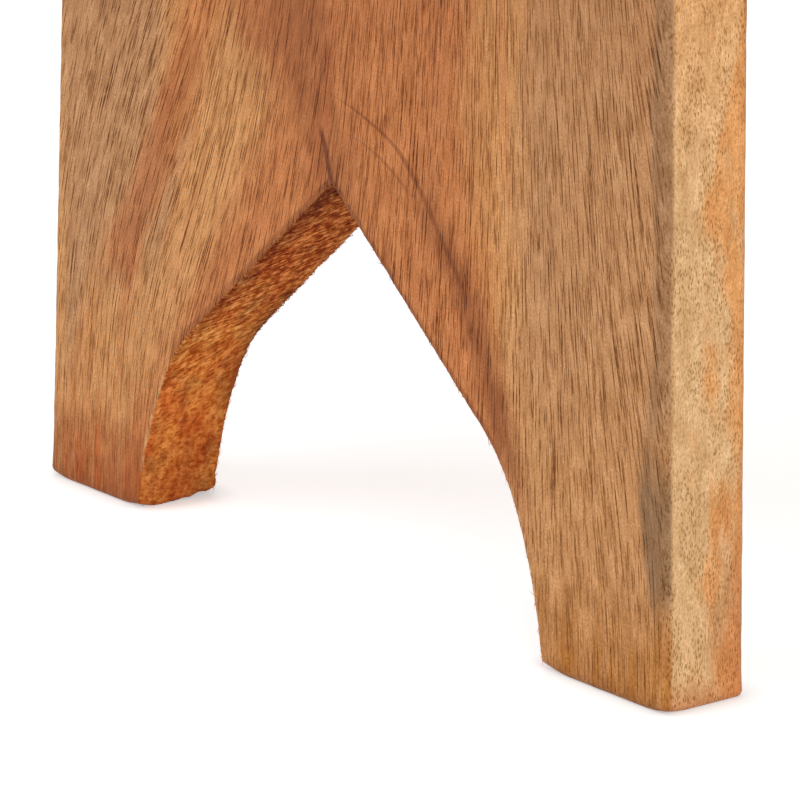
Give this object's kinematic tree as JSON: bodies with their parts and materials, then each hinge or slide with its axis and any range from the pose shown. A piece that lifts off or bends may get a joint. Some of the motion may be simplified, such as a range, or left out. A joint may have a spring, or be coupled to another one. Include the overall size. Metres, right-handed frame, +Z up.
{
  "type": "footstool",
  "caption": "Low solid-wood stool with a plank seat on thick end panels, each sawn with a pointed arch that leaves two feet, and a rail under the seat.",
  "frame": {"origin": "on the floor under the middle of the seat", "axes": "+Z up, Y along the length of the seat from the near end panel to the far one, X across it"},
  "size_m": [0.268, 0.38, 0.23],
  "materials": {
    "oiled_hardwood": "satin clear coat over planed hardwood",
    "plug_hardwood": "satin clear coat over face-grain plugs",
    "zinc_steel": "zinc plated"
  },
  "bodies": {
    "root": {"seat_board": "oiled_hardwood", "near_end_panel": "oiled_hardwood", "far_end_panel": "oiled_hardwood", "stretcher_rail": "oiled_hardwood", "near_seat_plugs": "plug_hardwood", "far_seat_plugs": "plug_hardwood", "near_seat_screws": "zinc_steel", "far_seat_screws": "zinc_steel", "rail_screws": "zinc_steel"}
  },
  "joints": []
}
